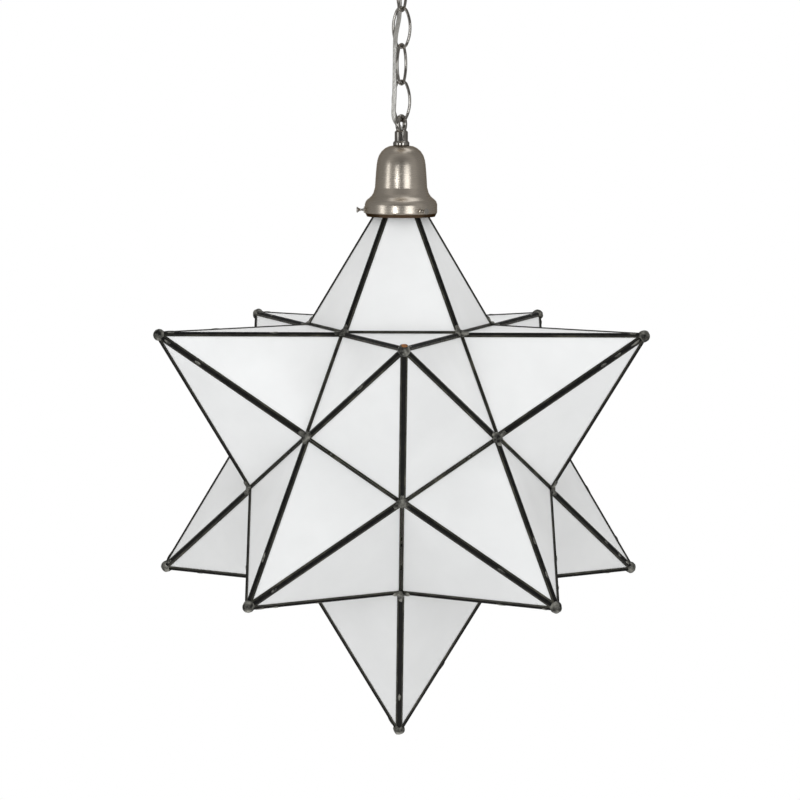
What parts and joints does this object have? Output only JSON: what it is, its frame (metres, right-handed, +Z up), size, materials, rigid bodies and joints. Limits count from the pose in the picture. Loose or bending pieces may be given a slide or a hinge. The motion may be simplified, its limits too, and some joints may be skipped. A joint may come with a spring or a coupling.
{
  "type": "moravian star pendant light",
  "caption": "Twelve-pointed leaded opal-glass star hung by a bell-shaped holder, chain links and a woven cord from a round ceiling canopy.",
  "frame": {"origin": "middle of the ceiling face, on top of the slotted bar; the lamp hangs below it", "axes": "+Z up, out of the ceiling face; the picture looks along +Y, with +X to its right"},
  "size_m": [0.5072, 0.533, 0.8432],
  "materials": {
    "opal_glass": "milky white stained glass with a soft surface",
    "leaded_came": "lead came with a near-black patina",
    "solder": "dull grey tin and lead solder",
    "chain_nickel": "polished nickel",
    "loop_nickel": "polished nickel",
    "bell_nickel": "satin nickel",
    "screw_nickel": "nickel",
    "canopy_nickel": "satin nickel",
    "cord_jacket": "clear silver-grey cord jacket",
    "green_screw": "green-coated grounding screw",
    "zinc_steel": "zinc-plated steel",
    "socket_cap_metal": "plated steel",
    "socket_plastic": "black phenolic",
    "shell_metal": "thin aluminium shell",
    "contact_brass": "brass",
    "lamp_insulator": "black insulator with its contact",
    "lamp_glass": "frosted lamp glass",
    "collar_metal": "plated steel collar"
  },
  "bodies": {
    "ceiling_mount": {"ceiling_bar": "zinc_steel", "ceiling_nipple": "zinc_steel", "ceiling_washer": "zinc_steel", "ceiling_nut": "zinc_steel", "ground_screw": "green_screw", "canopy_loop": "loop_nickel", "lamp_cord": "cord_jacket"},
    "canopy": {"canopy": "canopy_nickel"},
    "collar_ring": {"collar_ring": "canopy_nickel"},
    "link_1": {"chain_link_1": "chain_nickel"},
    "link_2": {"chain_link_2": "chain_nickel"},
    "link_3": {"chain_link_3": "chain_nickel"},
    "link_4": {"chain_link_4": "chain_nickel"},
    "fixture": {"bell_loop": "loop_nickel", "bell": "bell_nickel", "bell_nipple": "zinc_steel", "bell_washer": "zinc_steel", "bell_nut": "zinc_steel", "socket_cap": "socket_cap_metal", "socket_body": "socket_plastic", "socket_screw_shell": "shell_metal", "socket_contact": "contact_brass", "socket_terminals": "contact_brass", "star_collar": "collar_metal", "top_point_panes": "opal_glass", "upper_1_point_panes": "opal_glass", "upper_2_point_panes": "opal_glass", "upper_3_point_panes": "opal_glass", "upper_4_point_panes": "opal_glass", "upper_5_point_panes": "opal_glass", "lower_1_point_panes": "opal_glass", "lower_2_point_panes": "opal_glass", "lower_3_point_panes": "opal_glass", "lower_4_point_panes": "opal_glass", "lower_5_point_panes": "opal_glass", "bottom_point_panes": "opal_glass", "top_point_cames": "leaded_came", "upper_1_point_cames": "leaded_came", "upper_2_point_cames": "leaded_came", "upper_3_point_cames": "leaded_came", "upper_4_point_cames": "leaded_came", "upper_5_point_cames": "leaded_came", "lower_1_point_cames": "leaded_came", "lower_2_point_cames": "leaded_came", "lower_3_point_cames": "leaded_came", "lower_4_point_cames": "leaded_came", "lower_5_point_cames": "leaded_came", "bottom_point_cames": "leaded_came", "tip_solder": "solder", "vertex_solder": "solder"},
    "thumb_screw_1": {"thumb_screw_1": "screw_nickel"},
    "thumb_screw_2": {"thumb_screw_2": "screw_nickel"},
    "thumb_screw_3": {"thumb_screw_3": "screw_nickel"},
    "lamp": {"lamp_base": "shell_metal", "lamp_button": "lamp_insulator", "lamp_globe": "lamp_glass"}
  },
  "joints": [
    {"name": "canopy_lowering", "type": "slide", "parent": "ceiling_mount", "child": "canopy", "axis": [0, 0, 1], "range_m": [-0.02, 0]},
    {"name": "collar_ring_turn", "type": "hinge", "parent": "canopy", "child": "collar_ring", "pos_m": [0, 0, -0.029], "axis": [0, 0, 1], "continuous": true},
    {"name": "first_link_swing", "type": "hinge", "parent": "ceiling_mount", "child": "link_1", "pos_m": [0, 0, -0.05], "axis": [0.8829, -0.4695, 0], "range_deg": [-15, 15], "deforming": ["lamp_cord"]},
    {"name": "second_link_swing", "type": "hinge", "parent": "link_1", "child": "link_2", "pos_m": [0, 0, -0.0867], "axis": [0.4695, 0.8829, 0], "range_deg": [-15, 15], "deforming": ["lamp_cord"]},
    {"name": "third_link_swing", "type": "hinge", "parent": "link_2", "child": "link_3", "pos_m": [0, 0, -0.1244], "axis": [0.8829, -0.4695, 0], "range_deg": [-15, 15], "deforming": ["lamp_cord"]},
    {"name": "fourth_link_swing", "type": "hinge", "parent": "link_3", "child": "link_4", "pos_m": [0, 0, -0.1621], "axis": [0.4695, 0.8829, 0], "range_deg": [-15, 15], "deforming": ["lamp_cord"]},
    {"name": "fixture_swing", "type": "hinge", "parent": "link_4", "child": "fixture", "pos_m": [0, 0, -0.1998], "axis": [0.8829, -0.4695, 0], "range_deg": [-15, 15], "deforming": ["lamp_cord"]},
    {"name": "thumb_screw_1_out", "type": "slide", "parent": "fixture", "child": "thumb_screw_1", "axis": [0.5592, -0.829, 0], "range_m": [0, 0.004]},
    {"name": "thumb_screw_2_out", "type": "slide", "parent": "fixture", "child": "thumb_screw_2", "axis": [-0.9976, -0.0698, 0], "range_m": [0, 0.004]},
    {"name": "thumb_screw_3_out", "type": "slide", "parent": "fixture", "child": "thumb_screw_3", "axis": [0.4384, 0.8988, 0], "range_m": [0, 0.004]},
    {"name": "lamp_unscrewing", "type": "slide", "parent": "fixture", "child": "lamp", "axis": [0, 0, -1], "range_m": [0, 0.011]}
  ]
}
